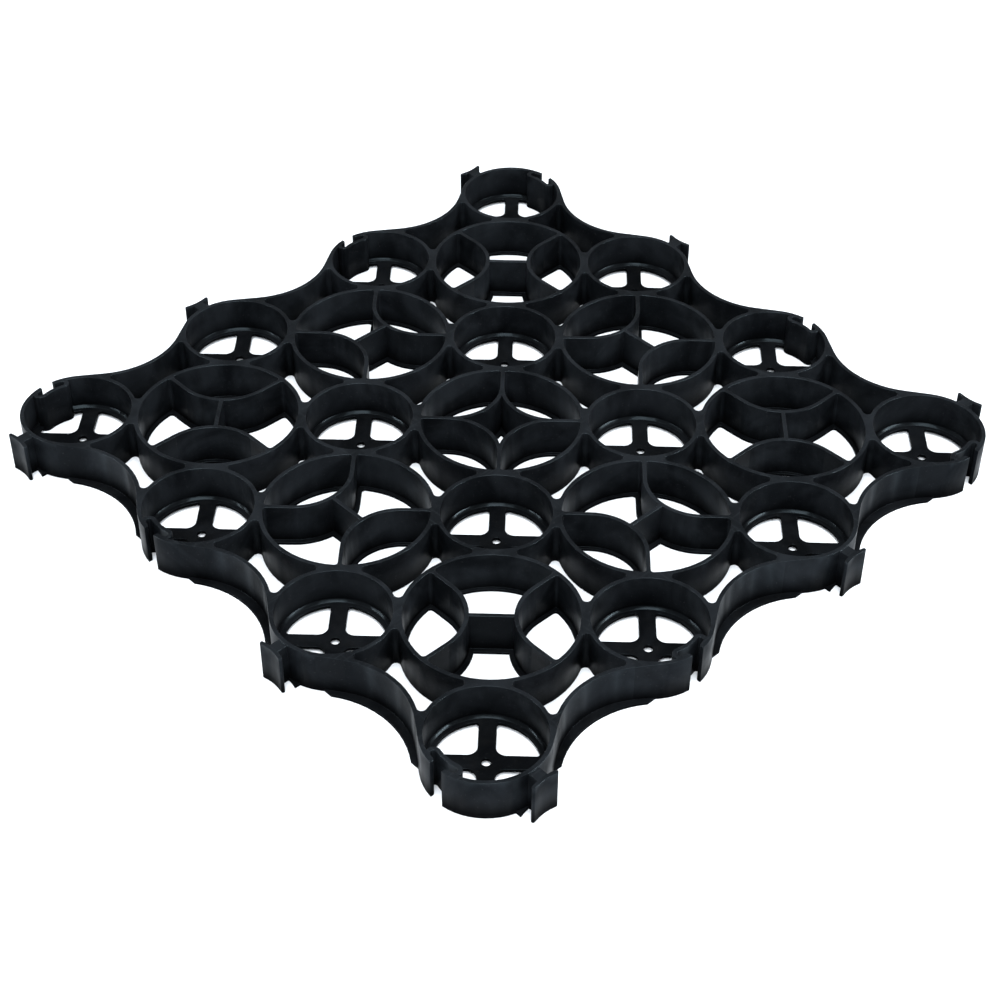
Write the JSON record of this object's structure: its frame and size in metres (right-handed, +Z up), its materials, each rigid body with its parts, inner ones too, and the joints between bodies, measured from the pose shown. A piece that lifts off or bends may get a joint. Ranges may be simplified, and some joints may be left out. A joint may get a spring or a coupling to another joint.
{
  "type": "grass paver grid",
  "caption": "Square moulded plastic ground grid of open round pots, rings and petal walls, with tongues and pockets along its sides for joining tiles over grass or gravel.",
  "frame": {"origin": "under the middle of the tile, on the plane of the walls' lower edges", "axes": "+Z up from the ground; +X and +Y along the tile's sides"},
  "size_m": [0.5186, 0.5186, 0.03],
  "materials": {
    "plastic": "black recycled plastic, satin on the walls and faintly marbled"
  },
  "bodies": {
    "root": {"paver_grid": "plastic"}
  },
  "joints": []
}
